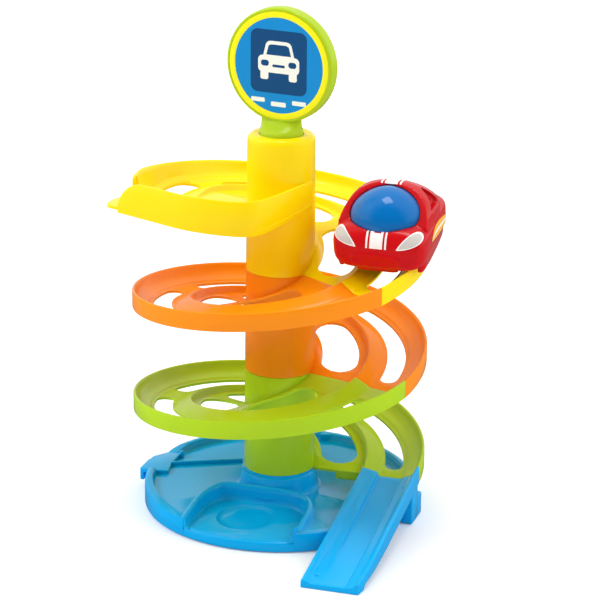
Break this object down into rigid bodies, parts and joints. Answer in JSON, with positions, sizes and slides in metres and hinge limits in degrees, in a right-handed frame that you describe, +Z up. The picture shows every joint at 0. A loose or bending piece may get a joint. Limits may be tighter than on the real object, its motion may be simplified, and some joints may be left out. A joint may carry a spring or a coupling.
{
  "type": "toy spiral car ramp",
  "caption": "Toy tower with stacked spiral car tracks round a column, a base with a parking bay, a straight exit ramp, a turning round sign and a small car.",
  "frame": {"origin": "on the tower axis at the floor, at the centre of the hub's foot", "axes": "+Z up along the tower axis, -Y towards the parking bay and along the exit ramp, +X to the ramp's side"},
  "size_m": [0.2436, 0.2575, 0.3813],
  "materials": {
    "blue_plastic": "glossy injection moulding",
    "green_plastic": "glossy injection moulding",
    "orange_plastic": "glossy injection moulding",
    "yellow_plastic": "glossy injection moulding",
    "lime_plastic": "glossy injection moulding",
    "sign_label": "printed paper sticker under clear film",
    "red_plastic": "glossy injection moulding",
    "window_plastic": "glossy injection moulding",
    "chassis_plastic": "satin moulding",
    "axle_steel": "drawn steel rod",
    "wheel_plastic": "satin moulding",
    "silver_label": "printed film sticker",
    "white_label": "printed film sticker",
    "amber_label": "printed film sticker"
  },
  "bodies": {
    "tower": {"base": "blue_plastic", "exit_ramp": "blue_plastic", "green_track": "green_plastic", "green_column": "green_plastic", "orange_track": "orange_plastic", "orange_column": "orange_plastic", "yellow_track": "yellow_plastic", "yellow_platform": "yellow_plastic", "yellow_column": "yellow_plastic"},
    "sign": {"sign_disc": "lime_plastic", "sign_label_front": "sign_label", "sign_label_back": "sign_label"},
    "car": {"car_body": "red_plastic", "car_window": "window_plastic", "car_chassis": "chassis_plastic", "headlight_labels": "silver_label", "bonnet_label": "white_label", "roof_label": "white_label", "side_label_left": "amber_label", "side_label_right": "amber_label"},
    "front_wheels": {"front_axle": "axle_steel", "wheel_front_left": "wheel_plastic", "wheel_front_right": "wheel_plastic"},
    "rear_wheels": {"rear_axle": "axle_steel", "wheel_rear_left": "wheel_plastic", "wheel_rear_right": "wheel_plastic"}
  },
  "joints": [
    {"name": "sign_turn", "type": "hinge", "parent": "tower", "child": "sign", "pos_m": [0, 0, 0.288], "axis": [0, 0, 1], "continuous": true},
    {"name": "car_lift", "type": "slide", "parent": "tower", "child": "car", "axis": [0, 0, 1], "range_m": [0, 0.12]},
    {"name": "front_wheels_spin", "type": "hinge", "parent": "car", "child": "front_wheels", "pos_m": [0.08362, -0.01021, 0.20761], "axis": [1, 0, 0], "continuous": true},
    {"name": "rear_wheels_spin", "type": "hinge", "parent": "car", "child": "rear_wheels", "pos_m": [0.08362, 0.02502, 0.215], "axis": [1, 0, 0], "continuous": true}
  ]
}
